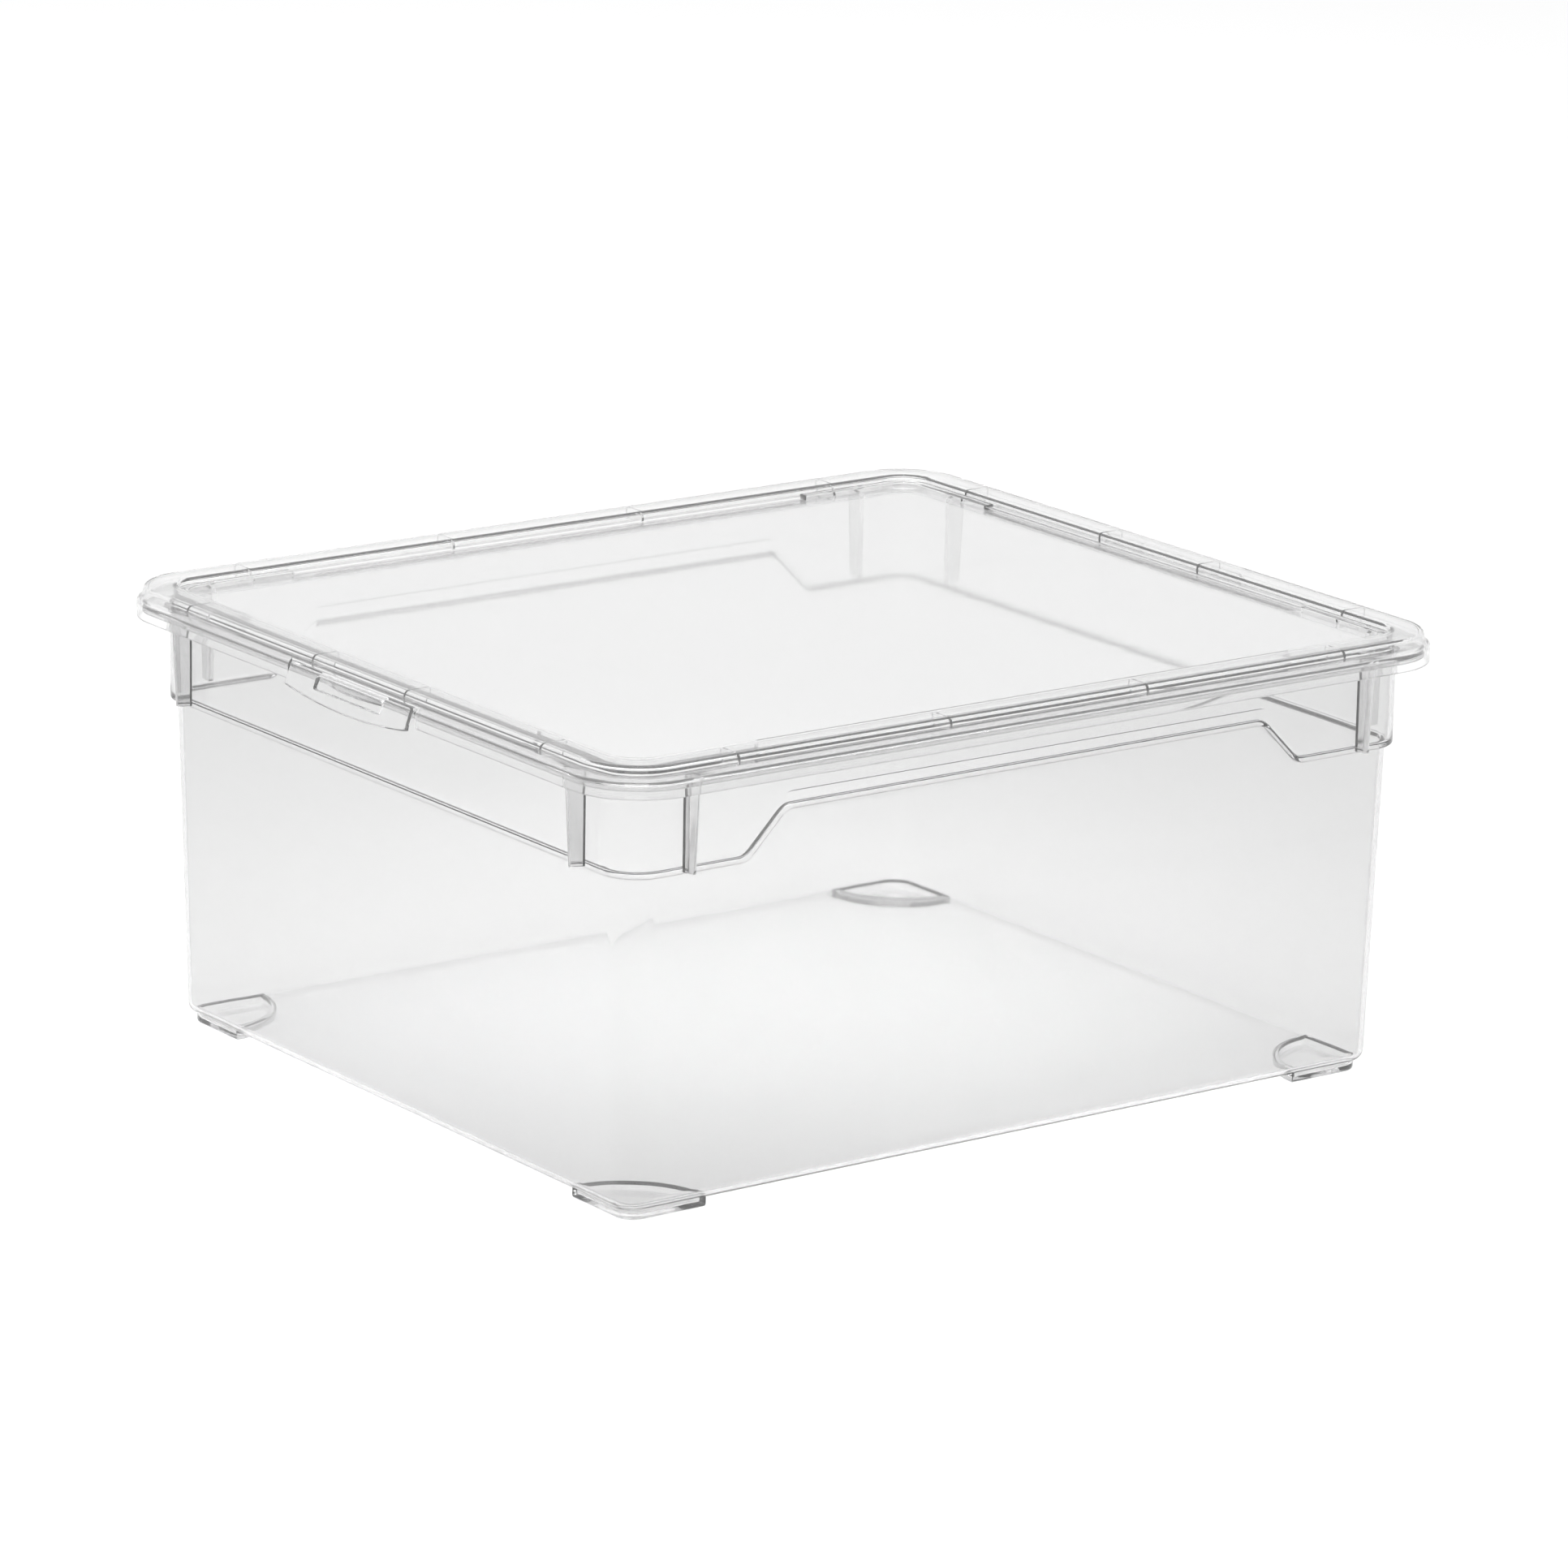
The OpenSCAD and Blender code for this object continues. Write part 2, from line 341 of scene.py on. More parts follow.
@dataclass(frozen=True)
class ClearPolypropylene:
    """Clear polypropylene, injection moulded against a polished tool.

    To the eye: glass-like but a little grey, with soft reflections, dark lines where an edge is seen along the sheet
    (painted shade, darkening its colour at grazing angles), and slow ripples where the melt flowed.

    Attributes:
        name: The material's name.
        tint: Colour that a metre of it would leave, as sRGB hex.
        body: Colour of one wall seen straight on, as sRGB hex.
        edge: Painted shade: colour of one wall seen along its surface, as sRGB hex, for the dark lines of refraction.
        painted_edge_shade_power: How sharply the body colour turns into the edge colour.
        density: How fast light is lost inside it, per metre.
        roughness: Roughness of the polished skin.
        gloss: Strength of its reflections, where 1 is the full reflection that the IOR gives.
        ripple_mm: Width of the moulding ripples.
        ripple: Strength of the ripples.
        ripple_height: Height of the ripples at full strength, in metres.
        ior: Index of refraction of polypropylene.
        clarity: Share of the light that goes through instead of scattering.
        shadow: Colour of the light that it lets through to what is behind it, as sRGB hex.
    """

    name: str
    tint: str = "#a3a3a4"
    body: str = "#e8e8e8"
    # edge colour is painted shade, seen where the surface turns to grazing angles, standing in for refraction's dark
    # lines
    edge: str = "#949496"
    painted_edge_shade_power: float = 5.0
    density: float = 9.0
    roughness: float = 0.03
    gloss: float = 0.5
    ripple_mm: float = 38.0
    ripple: float = 0.08
    ripple_height: float = 0.0006
    ior: float = 1.49
    clarity: float = 0.955
    shadow: str = "#fdfdfd"

    def make(self) -> bpy.types.Material:
        """Builds the material.

        Returns:
            The material: refracting plastic with absorption inside and painted shade at grazing angles, which lets
                lamps through as shadows.
        """
        material = bpy.data.materials.new(self.name)
        material.use_nodes = True
        tree = material.node_tree
        tree.nodes.clear()
        place = add_node(tree, "ShaderNodeTexCoord")
        flow = add_node(tree, "ShaderNodeTexNoise", {"noise_dimensions": "3D"},
                        {"Vector": place.outputs["Object"], "Scale": 1 / (self.ripple_mm * MM),
                         "Detail": 2.0, "Roughness": 0.5})
        bump = add_node(tree, "ShaderNodeBump", None,
                        {"Height": flow.outputs[0], "Strength": self.ripple, "Distance": self.ripple_height})
        # Painted shade: towards grazing angles the base colour turns from body to edge, standing in for the dark lines
        # that refraction draws along edges.
        facing = add_node(tree, "ShaderNodeLayerWeight", None, {"Blend": 0.5})
        painted_edge_shade_share = add_node(tree, "ShaderNodeMath", {"operation": "POWER"},
                         {0: facing.outputs["Facing"], 1: self.painted_edge_shade_power})
        colour = add_node(tree, "ShaderNodeMix", {"data_type": "RGBA"},
                          {0: painted_edge_shade_share.outputs[0], 6: linear(self.body), 7: linear(self.edge)})
        plastic = add_node(tree, "ShaderNodeBsdfPrincipled", None,
                           {"Base Color": colour.outputs[2], "Roughness": self.roughness, "IOR": self.ior,
                            "Transmission Weight": self.clarity, "Normal": bump.outputs["Normal"],
                            "Specular Tint": (self.gloss, self.gloss, self.gloss, 1.0)})
        veil = add_node(tree, "ShaderNodeBsdfTransparent", None, {"Color": linear(self.shadow)})
        light = add_node(tree, "ShaderNodeLightPath")
        mix = add_node(tree, "ShaderNodeMixShader", None,
                       {0: light.outputs["Is Shadow Ray"], 1: plastic.outputs[0], 2: veil.outputs[0]})
        inside = add_node(tree, "ShaderNodeVolumeAbsorption", None,
                          {"Color": linear(self.tint), "Density": self.density})
        add_node(tree, "ShaderNodeOutputMaterial", None,
                 {"Surface": mix.outputs[0], "Volume": inside.outputs[0]})
        return material


def dress(thing: bpy.types.Object, material: bpy.types.Material) -> None:
    """Gives a piece one material over its whole surface.

    Args:
        thing: The piece.
        material: The material.
    """
    thing.data.materials.clear()
    thing.data.materials.append(material)


# ---------------------------------------------------------------- the tub


@dataclass
class Tub:
    """The tub: floor, walls, shoulder, upper band, rim, ribs, tongues and feet, in one moulding."""

    outline: Outline
    wall: float = 2.0
    floor_z: float = 3.5
    shoulder_z: float = 134.7
    rim_z: float = 174.5
    draft: float = 3.7
    floor_r: float = 5.3
    band: float = 3.1
    rim_out: float = 11.0
    rim_t: float = 1.6
    lip_h: float = 3.1
    panel_top: float = 114.4
    panel_foot: float = 132.1
    panel_h: float = 17.8
    rib_t: float = 2.1
    rib_top: float = 8.6
    rib_foot: float = 6.4
    rib_in: float = 26.9
    foot_in: float = 3.0
    foot_r: float = 36.0
    foot_corner: float = 8.0
    tongue_half: float = 20.5
    tongue_reach: float = 2.9
    tongue_drop: float = 1.2
    piece: bpy.types.Object | None = field(default=None, init=False)

    def shoulder(self, base: np.ndarray, normal: np.ndarray) -> np.ndarray:
        """Height of the shoulder around the tub.

        It is level, except that on the long sides it climbs to the panel's top edge: with t = (foot - |x|) / (foot -
        top), the rise is panel_h * (ramp(t) - ramp(t - 1)), where ramp is 0, then t, joined by a short parabola.

        Args:
            base: Points around the outline.
            normal: Their normals.

        Returns:
            One height for each point.
        """
        blend = 0.16

        def ramp(t: np.ndarray) -> np.ndarray:
            """Is 0, then t, joined by a parabola.

            Args:
                t: Where to take it.

            Returns:
                One value for each t.
            """
            return np.where(t <= -blend, 0, np.where(t >= blend, t, (t + blend) ** 2 / (4 * blend)))

        t = (self.panel_foot - np.abs(base[:, 0])) / (self.panel_foot - self.panel_top)
        on_long = np.abs(normal[:, 1]) > 0.999
        return self.shoulder_z + np.where(on_long, self.panel_h * (ramp(t) - ramp(t - 1)), 0)

    def section(self) -> tuple[np.ndarray, np.ndarray, np.ndarray, np.ndarray]:
        """The wall section from the middle of the underside round to the middle of the inside.

        Returns:
            Offsets, heights, the share of the shoulder's climb that each point follows, and scales, each of shape (m,).
        """
        low = self.floor_z
        wall, band, rim = self.wall, self.band, self.band + self.rim_out
        top, under = self.rim_z, self.rim_z - self.rim_t
        fillet = self.floor_r
        in_fillet = fillet - wall
        z = self.shoulder_z
        rows: list[tuple[float, float, float, float]] = []
        edge = -(self.draft + fillet)
        for scale in (0.02, 0.25, 0.5, 0.75, 0.92):
            rows.append((edge, low, 0, scale))
        for a in np.linspace(-0.5 * math.pi, 0, 9):
            rows.append((edge + fillet * math.cos(a), low + fillet + fillet * math.sin(a), 0, 1))
        for share in np.linspace(0.1, 0.9, 7):
            height = low + fillet + share * (z - low - fillet)
            rows.append((-self.draft * (1 - share), height, share ** 6, 1))
        outer = rounded([(-0.1, z - 3), (0, z), (band, z), (band, z + 4)], [0, 0.9, 1.2, 0])
        rows += [(o, h, 1, 1) for o, h in outer]
        for share in (0.3, 0.6):
            rows.append((band, z + 4 + share * (under - z - 8), 1 - share ** 2, 1))
        lip_z, lip_in = top - self.lip_h, rim - self.rim_t
        lip = rounded([(band, under - 4), (band, under), (lip_in, under), (lip_in, lip_z), (rim, lip_z), (rim, top),
                       (band - wall, top), (band - wall, top - 5)],
                      [0, 1.2, 0.8, 0.7, 0.7, 1.1, 0.9, 0])
        rows += [(o, h, 0, 1) for o, h in lip]
        for share in (0.3, 0.6):
            rows.append((band - wall, top - 5 - share * (top - z - 12), share ** 2, 1))
        inner = rounded([(band - wall, z + 7), (band - wall, z + wall), (-wall, z + wall), (-wall - 0.1, z - 1)],
                        [0, 1.0, 1.2, 0])
        rows += [(o, h, 1, 1) for o, h in inner]
        floor = low + wall
        for share in np.linspace(0.9, 0.1, 7):
            height = floor + in_fillet + share * (z - floor - in_fillet)
            rows.append((-wall - self.draft * (1 - share), height, share ** 6, 1))
        in_edge = -(self.draft + wall + in_fillet)
        for a in np.linspace(0, -0.5 * math.pi, 7):
            rows.append((in_edge + in_fillet * math.cos(a), floor + in_fillet + in_fillet * math.sin(a), 0, 1))
        for scale in (0.92, 0.75, 0.5, 0.25, 0.02):
            rows.append((in_edge, floor, 0, scale))
        offset, height, follow, scale = (np.array(column) for column in zip(*rows))
        return offset, height, follow, scale

    def shell(self) -> bpy.types.Object:
        """Makes the tub's wall and floor.

        Returns:
            One closed shell.
        """
        marks_x = (self.panel_top, self.panel_foot)
        base, normal = self.outline.loop(marks_x)
        offset, height, follow, scale = self.section()
        climb = self.shoulder(base, normal) - self.shoulder_z
        heights = height[None, :] + climb[:, None] * follow[None, :]
        offsets = np.tile(offset, (len(base), 1))
        return closed_sweep("tub_shell", (base, normal), offsets, heights, scale)

    def rib(self, place: np.ndarray, out: np.ndarray) -> bpy.types.Object:
        """One stacking rib: a thin plate that stands out under the rim and tapers towards the shoulder.

        Args:
            place: Where its root meets the band, as (x, y).
            out: The outward direction there, as (x, y).

        Returns:
            The rib, with rounded edges.
        """
        side = np.array([-out[1], out[0]])
        root, tip = 0.5 * self.rib_t * 1.15, 0.5 * self.rib_t * 0.7
        top = self.rim_z - 0.5 * self.rim_t
        low = self.shoulder_z + 0.9
        corners = [(-1.0, low, root), (self.rib_foot, low + 0.5, tip), (self.rib_top, top, tip), (-1.0, top, root)]

        def face(sign: int) -> np.ndarray:
            """Places the corners of one face of the plate.

            Args:
                sign: Which face.

            Returns:
                Four points.
            """
            return np.array([[*(place + out * o + side * sign * t), z] for o, z, t in corners])

        return bevelled(prism("rib", [face(1), face(-1)]), 0.45)

    def tongue(self, side: Side) -> bpy.types.Object:
        """The bowed tongue that shows through a clip's window.

        Its edge is x = reach * (1 - (y / half)^2) outside the rim.

        Args:
            side: Which short end it is on.

        Returns:
            The tongue, with rounded edges.
        """
        start = self.outline.half_x + self.band + self.rim_out
        y = np.linspace(-self.tongue_half, self.tongue_half, 33)
        x = start + self.tongue_reach * (1 - (y / self.tongue_half) ** 2)
        rim = np.column_stack([x, y])
        back = np.array([[start - 0.5 * self.rim_t, self.tongue_half], [start - 0.5 * self.rim_t, -self.tongue_half]])
        shape = np.vstack([rim, back])
        shape[:, 0] *= side.value
        if side is Side.LEFT:
            shape = shape[::-1]
        top = self.rim_z - self.tongue_drop
        levels = [np.column_stack([shape, np.full(len(shape), z)]) for z in (top - self.rim_t, top)]
        return prism("tongue", levels)

    def foot_outline(self, sx: int, sy: int, inset: float) -> np.ndarray:
        """Quarter-round outline of a foot: two sides parallel to the floor's edge and an arc around their corner.

        Args:
            sx: Sign of the corner's x.
            sy: Sign of the corner's y.
            inset: How far the outline is drawn in on every side.

        Returns:
            Points (x, y), anticlockwise.
        """
        kx = self.outline.half_x - self.draft - self.foot_in
        ky = self.outline.half_y - self.draft - self.foot_in
        corner = self.foot_corner
        turn = np.linspace(0, 0.5 * math.pi, 9)
        bend = np.column_stack([kx - corner + (corner - inset) * np.cos(turn),
                                ky - corner + (corner - inset) * np.sin(turn)])
        reach = self.foot_r - inset
        lean = math.asin(inset / reach)
        sweep = np.linspace(math.pi + lean, 1.5 * math.pi - lean, 25)
        arc = np.column_stack([kx + reach * np.cos(sweep), ky + reach * np.sin(sweep)])
        shape = np.vstack([bend, arc]) * np.array([sx, sy])
        return shape if sx * sy > 0 else shape[::-1]

    def foot(self, sx: int, sy: int, inset: float, low: float, high: float, round_r: float) -> bpy.types.Object:
        """Makes a foot, or the pocket inside one, with its lower edge rounded by a quarter circle.

        Args:
            sx: Sign of the corner's x.
            sy: Sign of the corner's y.
            inset: How far its outline is drawn in on every side.
            low: Height of its bottom.
            high: Height of its top.
            round_r: Radius of the rounding.

        Returns:
            The closed solid.
        """
        levels = []
        for a in np.linspace(0, 0.5 * math.pi, 5):
            ring = self.foot_outline(sx, sy, inset + round_r * (1 - math.sin(a)))
            levels.append(np.column_stack([ring, np.full(len(ring), low + round_r * (1 - math.cos(a)))]))
        ring = self.foot_outline(sx, sy, inset)
        levels.append(np.column_stack([ring, np.full(len(ring), high)]))
        return prism("foot", levels)

    def build(self) -> None:
        """Makes the tub's piece."""
        tub = self.shell()
        hx = self.outline.half_x + self.band
        hy = self.outline.half_y + self.band
        for sx in (-1, 1):
            for sy in (-1, 1):
                end = np.array([sx * hx, sy * (hy - self.rib_in)])
                combine(tub, self.rib(end, np.array([sx, 0.0])), "UNION")
                long = np.array([sx * (hx - self.rib_in), sy * hy])
                combine(tub, self.rib(long, np.array([0.0, sy])), "UNION")
                combine(tub, self.foot(sx, sy, 0, 0, self.floor_z + 0.5 * self.wall, 1.2), "UNION")
                combine(tub, self.foot(sx, sy, self.wall, self.wall, self.floor_z + 2 * self.wall, 0.8), "DIFFERENCE")
        for side in Side:
            combine(tub, self.tongue(side), "UNION")
        soften(tub)
        self.piece = tub

    def finish(self, material: bpy.types.Material) -> None:
        """Dresses the tub and puts it in place of its CAD node.

        Args:
            material: The plastic it is moulded in.
        """
        dress(self.piece, material)
        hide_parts("tub")
        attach(self.piece, "tub")
        LOG.info("tub: %d faces", len(self.piece.data.polygons))


# ---------------------------------------------------------------- the lid


@dataclass
class Lid:
    """The lid: recessed panel, hollow raised rim with cross ribs, flared skirt and corner ledges."""

    outline: Outline
    thick: float = 1.6
    panel_z: float = 175.0
    rise: float = 4.3
    well: float = 1.5
    top_out: float = 13.4
    skirt_out: float = 16.4
    skirt_low: float = 168.6
    clip_half: float = 42.5
    slot: float = 2.0
    clip_line: float = 14.5
    ledge_h: float = 2.0
    ledge_w: float = 4.5
    ledge_len: float = 58.0
    cross_t: float = 1.2
    cross_long: tuple[float, float] = (47.0, 144.5)
    cross_short: tuple[float, float] = (32.0, 123.0)
    piece: bpy.types.Object | None = field(default=None, init=False)

    def section(self) -> tuple[np.ndarray, np.ndarray, np.ndarray]:
        """The lid's section from the middle of its underside, out round the skirt and back over the top.

        Returns:
            Offsets, heights and scales, all of shape (m,).
        """
        t = self.thick
        low, floor = self.panel_z, self.panel_z + t
        top = floor + self.rise
        flare = 2.1
        waist = self.skirt_out - flare
        waist_z = self.panel_z + 2.3
        knee_z = waist_z - flare
        under = rounded([(self.well - 8, low), (self.well, low), (self.well, top - t), (self.top_out - t, top - t),
                         (waist - t, waist_z - 0.4), (self.skirt_out - t, knee_z - 0.7),
                         (self.skirt_out - t, self.skirt_low), (self.skirt_out, self.skirt_low),
                         (self.skirt_out, knee_z), (waist, waist_z), (self.top_out, top),
                         (self.well - t, top), (self.well - t, floor), (self.well - 10, floor)],
                        [0, 0.7, 0.8, 0.8, 0.8, 0.8, 0.6, 0.6, 1.0, 1.0, 1.7, 1.4, 1.0, 0])
        rows = [(self.well - 8, low, s) for s in (0.02, 0.3, 0.6, 0.85)]
        rows += [(o, h, 1) for o, h in under]
        rows += [(self.well - 10, floor, s) for s in (0.85, 0.6, 0.3, 0.02)]
        offset, height, scale = (np.array(column) for column in zip(*rows))
        return offset, height, scale

    def bar(self, centre: tuple[float, float, float], size: tuple[float, float, float]) -> bpy.types.Object:
        """Makes a straight bar along the axes, used to cut the skirt or to bridge the rim's hollow.

        Args:
            centre: Its middle.
            size: Its length along each axis.

        Returns:
            The closed solid.
        """
        half = 0.5 * np.array(size)
        square = np.array([[-1, -1], [1, -1], [1, 1], [-1, 1]]) * half[:2] + np.array(centre[:2])
        levels = [np.column_stack([square, np.full(4, centre[2] + s * half[2])]) for s in (-1, 1)]
        return prism("bar", levels)

    def ledge(self, sx: int, sy: int) -> bpy.types.Object:
        """One corner ledge: an L with a rounded corner that follows the inside of the raised rim.

        Args:
            sx: Sign of the corner's x.
            sy: Sign of the corner's y.

        Returns:
            The ledge, with rounded edges.
        """
        outer = self.well - 0.5 * self.thick
        inner = self.well - self.thick - self.ledge_w
        hx, hy, r = self.outline.half_x, self.outline.half_y, self.outline.radius
        turn = np.linspace(0, 0.5 * math.pi, 13)

        def edge(offset: float) -> np.ndarray:
            """Follows the outline round one corner.

            Args:
                offset: How far outside the outline to run.

            Returns:
                Points (x, y), anticlockwise.
            """
            bend = np.column_stack([hx - r + (r + offset) * np.cos(turn), hy - r + (r + offset) * np.sin(turn)])
            ends = [[hx + offset, hy - self.ledge_len]], [[hx - self.ledge_len, hy + offset]]
            return np.vstack([ends[0], bend, ends[1]])

        shape = np.vstack([edge(outer), edge(inner)[::-1]]) * np.array([sx, sy])
        if sx * sy < 0:
            shape = shape[::-1]
        floor = self.panel_z + self.thick
        levels = [np.column_stack([shape, np.full(len(shape), z)]) for z in (floor - 0.8, floor + self.ledge_h)]
        return bevelled(prism("ledge", levels), 0.5)

    def build(self) -> None:
        """Makes the lid's piece."""
        base, normal = self.outline.loop()
        offset, height, scale = self.section()
        tile = np.ones((len(base), 1))
        lid = closed_sweep("lid_shell", (base, normal), tile * offset, tile * height, scale)
        top = self.panel_z + self.thick + self.rise
        middle_z = 0.5 * (self.panel_z + top)
        span_z = top - self.panel_z - self.thick
        mid = 0.5 * (self.well + self.top_out - self.thick)
        width = self.top_out - self.well - self.thick + 1.0
        for s in (-1, 1):
            for sign in (-1, 1):
                for x in self.cross_long:
                    centre = (s * x, sign * (self.outline.half_y + mid), middle_z)
                    combine(lid, self.bar(centre, (self.cross_t, width, span_z)), "UNION")
                for y in self.cross_short:
                    centre = (sign * (self.outline.half_x + mid), s * y, middle_z)
                    combine(lid, self.bar(centre, (width, self.cross_t, span_z)), "UNION")
                combine(lid, self.ledge(s, sign), "UNION")
        gap = self.clip_half + self.slot
        reach = 10.0
        for side in Side:
            x = side.value * (self.outline.half_x + self.clip_line + 0.5 * reach)
            combine(lid, self.bar((x, 0, self.panel_z - 3.0), (reach, 2 * gap, 2 * reach)), "DIFFERENCE")
        soften(lid)
        self.piece = lid

    def finish(self, material: bpy.types.Material) -> None:
        """Dresses the lid and puts it in place of its CAD node.

        Args:
            material: The plastic it is moulded in.
        """
        dress(self.piece, material)
        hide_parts("lid")
        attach(self.piece, "lid")
        LOG.info("lid: %d faces", len(self.piece.data.polygons))


# ---------------------------------------------------------------- the clips


@dataclass
class Clip:
    """One clip: a flared plate on the lid's end, with a window and a bowed finger lip."""

    side: Side
    node: str
    hinge_x: float = 199.8
    hinge_z: float = 176.6
    flare: float = 4.1
    half_width: float = 42.5
    thick: float = 1.6
    window_half: float = 23.0
    window_low: float = 169.8
    window_h: float = 4.9
    lip_low: float = 164.4
    lip_out: float = 0.8
    lip_sag: float = 3.4
    piece: bpy.types.Object | None = field(default=None, init=False)

    def build(self) -> None:
        """Makes the clip's piece.

        The plate is a grid of columns across the clip. In each column the section is the same, but its lowest points
        follow the lip's bow, z = lip_low + lip_sag * (y / half)^2, and the two end columns are drawn in to round them.
        """
        t = self.thick
        inner = np.linspace(-1, 1, 41) * (self.half_width - 1.2)
        end = np.array([self.half_width - 0.35, self.half_width])
        y = np.concatenate([-end[::-1], inner, end])
        bar_x = self.hinge_x + self.flare
        section = rounded(
            [(self.hinge_x, self.hinge_z - 0.5 * t), (self.hinge_x, self.hinge_z), (self.hinge_x + t, self.hinge_z),
             (bar_x, self.window_low), (bar_x + self.lip_out, self.lip_low), (bar_x + self.lip_out - t, self.lip_low),
             (bar_x - t, self.window_low), (self.hinge_x, self.hinge_z - t), (self.hinge_x, self.hinge_z - 0.6 * t)],
            [0, 0.3, 0.8, 2.0, 0.75, 0.75, 2.0, 0.6, 0])
        points = np.array(section)
        drop = np.clip((self.window_low + 1.0 - points[:, 1]) / (self.window_low + 1.0 - self.lip_low), 0, 1)
        bow = self.lip_sag * (y / self.half_width) ** 2
        rim = np.abs(y) / self.half_width
        pinch = np.where(rim > 0.9999, 0.35, np.where(rim > 0.99, 0.8, 1.0))
        levels = []
        for k, value in enumerate(y):
            z = points[:, 1] + drop * bow[k]
            centre_x = np.interp(z, [self.lip_low, self.window_low, self.hinge_z],
                                 [bar_x + self.lip_out - 0.5 * t, bar_x - 0.5 * t, self.hinge_x + 0.5 * t])
            x = centre_x + (points[:, 0] - centre_x) * pinch[k]
            levels.append(np.column_stack([self.side.value * x, np.full(len(x), value), z]))
        if self.side is Side.LEFT:
            levels = levels[::-1]
        clip = prism(f"{self.node}_plate", levels)
        x = self.side.value * bar_x
        half = np.array([10.0, self.window_half, 0.5 * self.window_h])
        square = np.array([[-1, -1], [1, -1], [1, 1], [-1, 1]]) * half[:2] + np.array([x, 0])
        z = self.window_low + 0.5 * self.window_h
        window = prism("window", [np.column_stack([square, np.full(4, z + s * half[2])]) for s in (-1, 1)])
        combine(clip, bevelled(window, 0.8), "DIFFERENCE")
        soften(clip)
        self.piece = clip

    def finish(self, material: bpy.types.Material) -> None:
        """Dresses the clip and puts it in place of its CAD node.

        Args:
            material: The plastic it is moulded in.
        """
        dress(self.piece, material)
        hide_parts(self.node)
        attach(self.piece, self.node)
        LOG.info("%s: %d faces", self.node, len(self.piece.data.polygons))


# ---------------------------------------------------------------- the studio


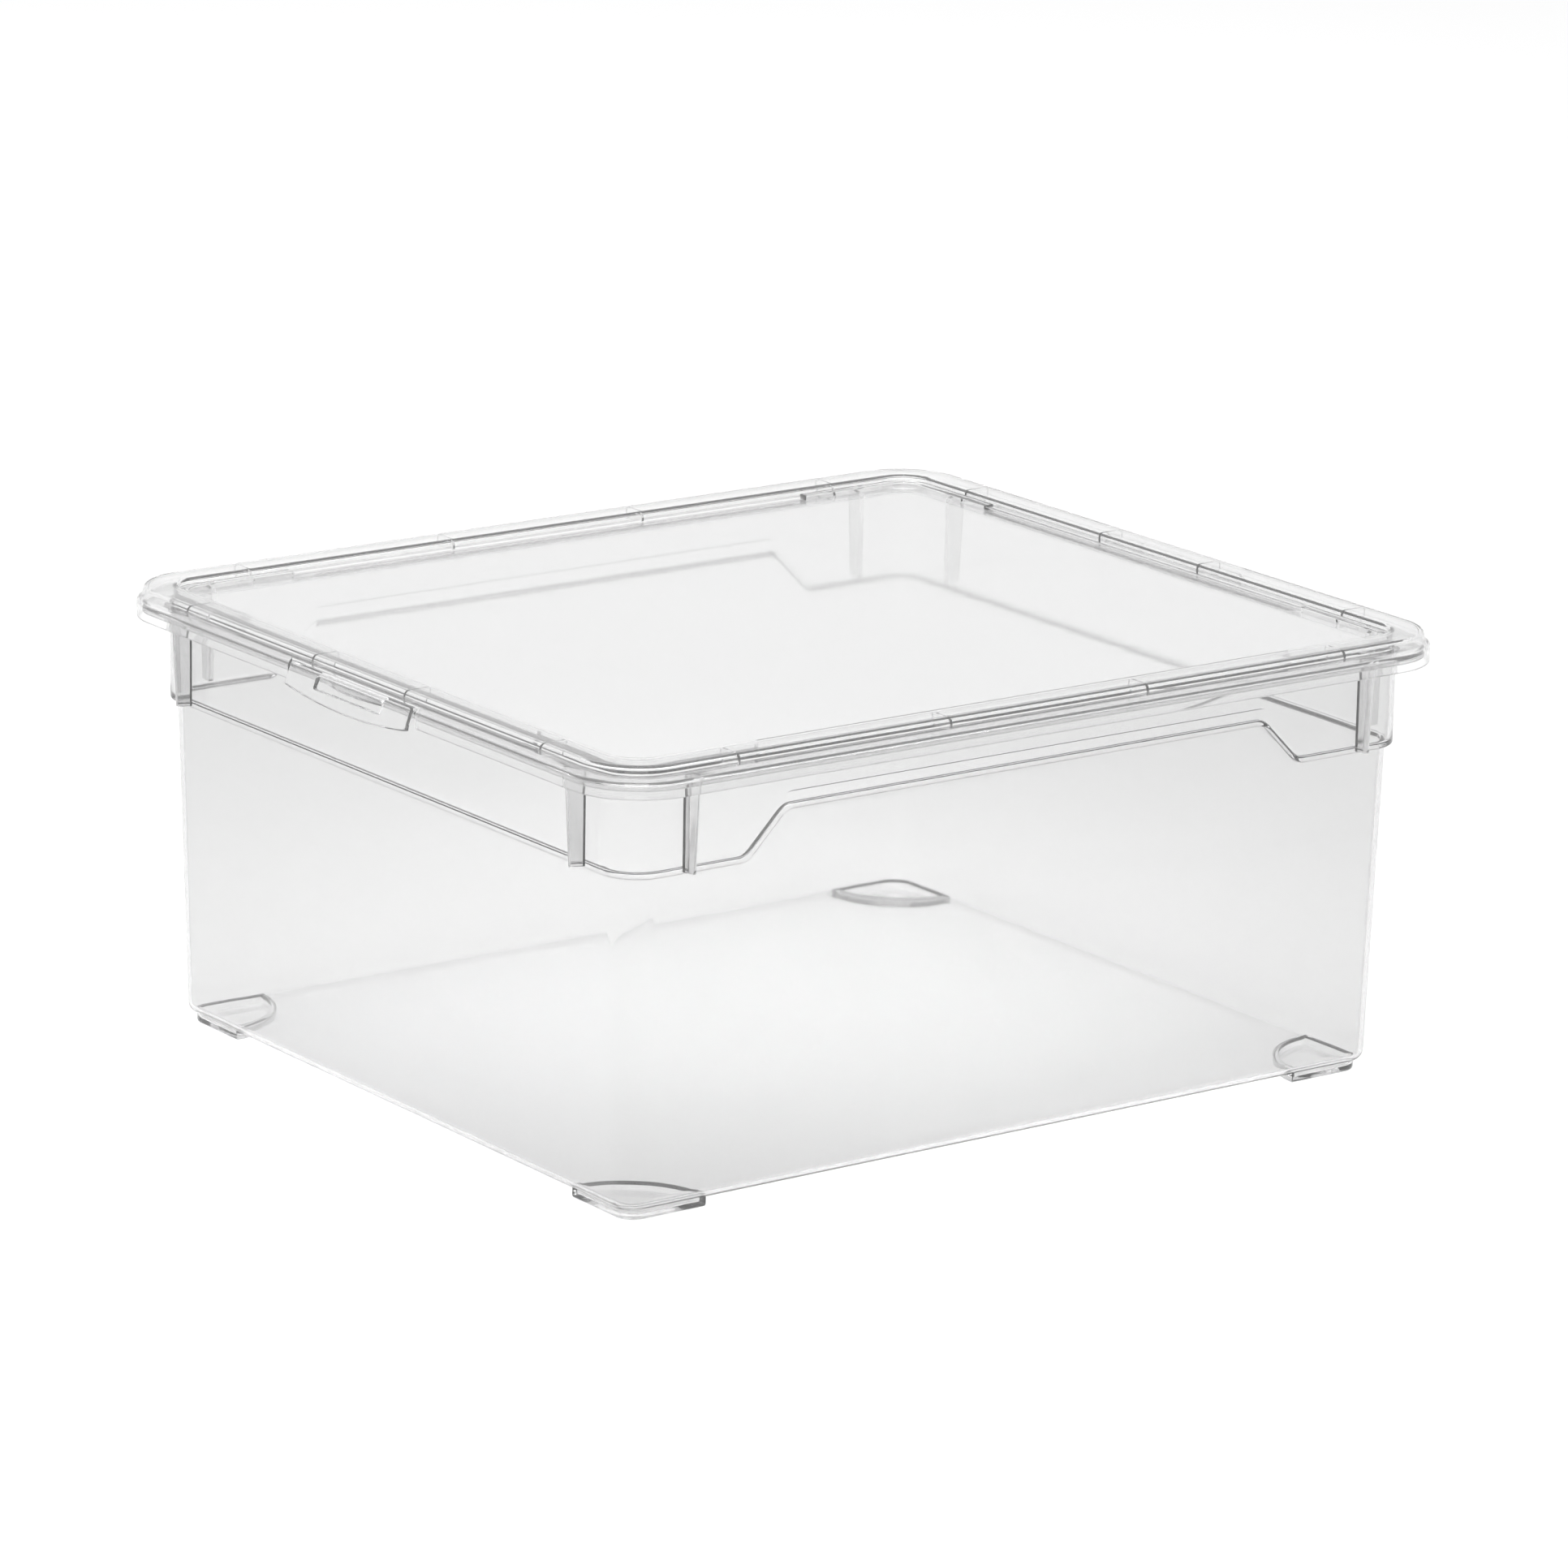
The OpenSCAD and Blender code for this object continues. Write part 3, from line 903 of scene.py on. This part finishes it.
@dataclass(frozen=True)
class Studio:
    """Pale floor, soft lamps and the camera.

    Attributes:
        azimuth: Camera's turn about the box from straight in front, in degrees.
        elevation: Camera's angle above the floor, in degrees.
        roll: Camera's turn about its own axis, in degrees.
        distance: Camera's distance from the box, in mm.
        lens_mm: Focal length, for a sensor sensor_mm wide.
        sensor_mm: Width of the sensor.
        aim_z: Height that it looks at, in mm.
        shift_right: How far the aim is moved to the right, in mm.
        shift_up: How far the aim is moved up, in mm.
        floor_colour: Colour of the paper floor, as sRGB hex.
        sky: Brightness of the surroundings on the bright side.
        dim_sky: Brightness of the surroundings on the other side.
        bright_side: Direction of the bright side.
        lamp_watts: Power of the top lamp.
    """

    azimuth: float = -36.25
    elevation: float = 15.25
    roll: float = 1.076
    distance: float = 3080.6
    lens_mm: float = 177.6969
    sensor_mm: float = 36.0
    aim_z: float = 83.5
    shift_right: float = 3.3
    shift_up: float = 23.5
    floor_colour: str = "#f7f7f7"
    sky: float = 0.95
    dim_sky: float = 0.3
    bright_side: tuple[float, float, float] = (0.5, 0.6, 0.62)
    lamp_watts: float = 40.0

    def camera(self) -> None:
        """Places the camera: it looks along the azimuth and elevation, turned by the roll, a little to one side."""
        az, el, roll = (math.radians(a) for a in (self.azimuth, self.elevation, self.roll))
        back = Vector((math.sin(az) * math.cos(el), -math.cos(az) * math.cos(el), math.sin(el)))
        right = (-back).cross(Vector((0, 0, 1))).normalized()
        up = right.cross(-back)
        level = right * math.cos(roll) + up * math.sin(roll)
        upright = up * math.cos(roll) - right * math.sin(roll)
        aim = Vector((0, 0, self.aim_z)) + level * self.shift_right + upright * self.shift_up
        lens = bpy.data.cameras.new("camera")
        lens.sensor_width = self.sensor_mm
        lens.lens = self.lens_mm
        lens.clip_end = 50
        thing = bpy.data.objects.new("camera", lens)
        turn = Matrix((level, upright, back)).transposed().to_4x4()
        thing.matrix_world = Matrix.Translation((aim + back * self.distance) * MM) @ turn
        bpy.context.scene.collection.objects.link(thing)
        bpy.context.scene.camera = thing

    def lamp(self, name: str, place: tuple[float, float, float], size: float, watts: float) -> None:
        """Hangs a square soft lamp aimed at the box.

        Args:
            name: The lamp's name.
            place: Where it hangs, in metres.
            size: Its side, in metres.
            watts: Its power.
        """
        light = bpy.data.lights.new(name, "AREA")
        light.size = size
        light.energy = watts
        thing = bpy.data.objects.new(name, light)
        thing.location = place
        thing.rotation_euler = (Vector((0, 0, 0.08)) - Vector(place)).to_track_quat("-Z", "Y").to_euler()
        bpy.context.scene.collection.objects.link(thing)

    def pool(self, place: tuple[float, float, float], reach: float, watts: float) -> None:
        """Hangs a soft spot straight above the floor, for a pool of light that fades out.

        Args:
            place: Where it hangs, in metres.
            reach: Radius of the pool on the floor, in metres.
            watts: Its power.
        """
        light = bpy.data.lights.new("pool_lamp", "SPOT")
        light.energy = watts
        light.spot_size = 2 * math.atan(reach / place[2])
        light.spot_blend = 1.0
        light.shadow_soft_size = 0.15
        thing = bpy.data.objects.new("pool_lamp", light)
        thing.location = place
        bpy.context.scene.collection.objects.link(thing)

    def floor(self) -> None:
        """Lays a wide matt floor just under the box, so that the feet's undersides don't lie in its plane."""
        half, below = 9000.0, 0.05
        square = np.array([[-half, -half, 0], [half, -half, 0], [half, half, 0], [-half, half, 0]]) - [0, 0, below]
        thing = mesh_object("floor", square, [(0, 1, 2, 3)])
        material = bpy.data.materials.new("matt_paper")
        material.use_nodes = True
        shader = material.node_tree.nodes["Principled BSDF"]
        shader.inputs["Base Color"].default_value = linear(self.floor_colour)
        shader.inputs["Roughness"].default_value = 0.9
        shader.inputs["Specular IOR Level"].default_value = 0.0
        dress(thing, material)

    def build(self) -> None:
        """Makes the floor, lamps, surroundings and camera."""
        self.floor()
        self.lamp("top_lamp", (0.2, 0.6, 3.2), 3.0, self.lamp_watts)
        self.lamp("left_lamp", (-3.0, -0.6, 1.8), 1.6, 0.35 * self.lamp_watts)
        self.lamp("front_lamp", (-1.7, -2.3, 0.9), 1.7, 24.0)
        self.pool((0.07, 0.12, 2.5), 0.39, 76.0)
        world = bpy.data.worlds.new("studio")
        world.use_nodes = True
        tree = world.node_tree
        place = add_node(tree, "ShaderNodeTexCoord")
        side = add_node(tree, "ShaderNodeVectorMath", {"operation": "DOT_PRODUCT"},
                        {0: place.outputs["Generated"], 1: self.bright_side})
        fade = add_node(tree, "ShaderNodeMapRange", {"interpolation_type": "SMOOTHSTEP"},
                        {"Value": side.outputs["Value"], "From Min": -0.6, "From Max": 0.35,
                         "To Min": self.dim_sky, "To Max": self.sky})
        background = tree.nodes["Background"]
        tree.links.new(fade.outputs["Result"], background.inputs["Strength"])
        background.inputs["Color"].default_value = (1, 1, 1, 1)
        scene = bpy.context.scene
        scene.world = world
        scene.view_settings.view_transform = "Standard"
        scene.cycles.transmission_bounces = 24
        scene.cycles.max_bounces = 24
        scene.cycles.transparent_max_bounces = 32
        scene.cycles.caustics_refractive = True
        self.camera()


def main() -> None:
    """Builds the box in order: tub, lid, clips, then the studio around them."""
    logging.basicConfig(level=logging.INFO, format="%(message)s")
    outline = Outline(185.0, 161.0, 13.0)
    # The edge colours of both plastics are painted shade at grazing angles.
    tub_plastic = ClearPolypropylene("clear_polypropylene_tub").make()
    lid_plastic = ClearPolypropylene("clear_polypropylene_lid", body="#fafafa", edge="#9a9a9c").make()
    for part, plastic in ((Tub(outline), tub_plastic), (Lid(outline), lid_plastic),
                          (Clip(Side.LEFT, "clip_left"), lid_plastic), (Clip(Side.RIGHT, "clip_right"), lid_plastic)):
        part.build()
        part.finish(plastic)
    Studio().build()


if __name__ == "__main__":
    main()
